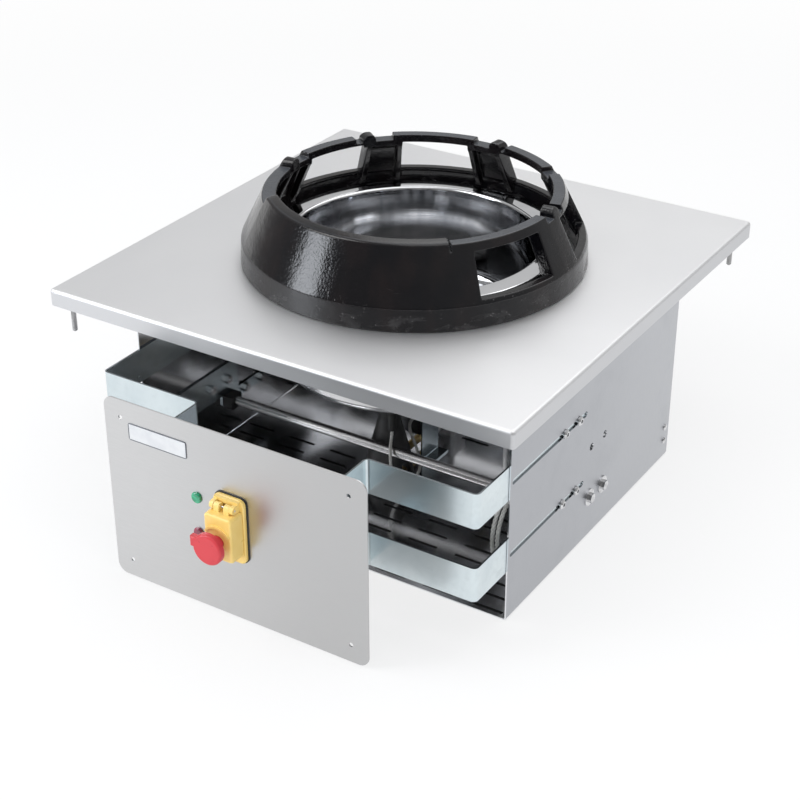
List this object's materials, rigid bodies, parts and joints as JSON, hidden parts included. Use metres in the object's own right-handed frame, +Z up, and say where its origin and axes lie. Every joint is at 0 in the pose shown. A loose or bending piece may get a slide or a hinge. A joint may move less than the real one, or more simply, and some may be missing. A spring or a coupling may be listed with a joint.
{
  "type": "wok range",
  "caption": "Built-in gas wok range: cast ring with windows over a polished bowl in a square steel worktop, open housing, and a control panel on sliding brackets.",
  "frame": {"origin": "under the middle of the range's outline, on the surface that the housing stands on", "axes": "+X to the right seen from the control panel, +Y from the control panel to the back, +Z up"},
  "size_m": [0.6014, 0.784, 0.3218],
  "materials": {
    "worktop_steel": "brushed stainless steel",
    "housing_steel": "bright annealed stainless steel",
    "panel_steel": "fine brushed stainless steel",
    "bowl_steel": "polished stainless steel",
    "zinc": "zinc-plated steel",
    "fastener_steel": "plated steel",
    "enamel": "glossy black enamel on cast iron",
    "black_iron": "black cast iron",
    "aluminium": "cast",
    "brass": "turned",
    "ceramic": "glazed",
    "black_plastic": "satin",
    "rubber": "matt",
    "white_braid": "braided glass sleeve",
    "grey_braid": "braided sleeve",
    "white_plastic": "satin",
    "yellow_plastic": "moulded",
    "red_plastic": "moulded",
    "green_plastic": "moulded",
    "green_lens": "clear lens",
    "red_lens": "clear lens"
  },
  "bodies": {
    "root": {"worktop": "worktop_steel", "worktop_studs": "fastener_steel", "housing": "housing_steel", "back_panel": "housing_steel", "rear_screws": "fastener_steel", "side_washers": "fastener_steel", "side_bolts": "fastener_steel", "side_nuts": "fastener_steel", "tube_carriers": "zinc", "gas_tube": "fastener_steel", "tube_clips": "rubber", "combustion_bowl": "bowl_steel", "burner_pot": "bowl_steel", "burner_manifold": "black_iron", "burner_head": "black_iron", "mixing_tube": "black_iron", "gas_injector": "brass", "gas_pipe": "brass", "gas_valve": "aluminium", "supply_pipe": "fastener_steel", "gas_inlet": "brass", "ignition_box": "black_plastic", "ignition_bracket": "zinc", "electrode": "ceramic", "electrode_cap": "rubber", "ignition_lead": "white_braid", "wiring": "grey_braid", "terminal_block": "white_plastic", "cable_gland": "black_plastic"},
    "ring": {"wok_ring": "enamel"},
    "panel": {"control_panel": "panel_steel", "bracket_upper_left": "zinc", "bracket_upper_right": "zinc", "bracket_lower_left": "zinc", "bracket_lower_right": "zinc", "bracket_bolts": "fastener_steel", "bracket_nuts": "fastener_steel", "green_lamp": "green_lens", "red_lamp": "red_lens", "lamp_nuts": "fastener_steel", "switch_gasket": "rubber", "switch_base": "yellow_plastic", "contact_block": "black_plastic", "hinge_pin": "fastener_steel"},
    "cover": {"switch_cover": "yellow_plastic"},
    "mushroom": {"stop_mushroom": "red_plastic"},
    "start_key": {"start_button": "green_plastic"},
    "stop_key": {"stop_button": "red_plastic"}
  },
  "joints": [
    {"name": "panel_slide", "type": "slide", "parent": "root", "child": "panel", "axis": [0, -1, 0], "range_m": [-0.014, 0.105]},
    {"name": "ring_lift", "type": "slide", "parent": "root", "child": "ring", "axis": [0, 0, 1], "range_m": [0, 0.15]},
    {"name": "cover_hinge", "type": "hinge", "parent": "panel", "child": "cover", "pos_m": [0.0568, -0.3615, 0.145], "axis": [-1, 0, 0], "range_deg": [0, 110]},
    {"name": "mushroom_press", "type": "slide", "parent": "cover", "child": "mushroom", "axis": [0, 1, 0], "range_m": [0, 0.0035], "stiffness_N_per_m": 900, "springref_m": -0.002},
    {"name": "start_press", "type": "slide", "parent": "panel", "child": "start_key", "axis": [0, 1, 0], "range_m": [0, 0.0025], "stiffness_N_per_m": 600, "springref_m": -0.002},
    {"name": "stop_press", "type": "slide", "parent": "panel", "child": "stop_key", "axis": [0, 1, 0], "range_m": [0, 0.0025], "stiffness_N_per_m": 600, "springref_m": -0.002}
  ]
}
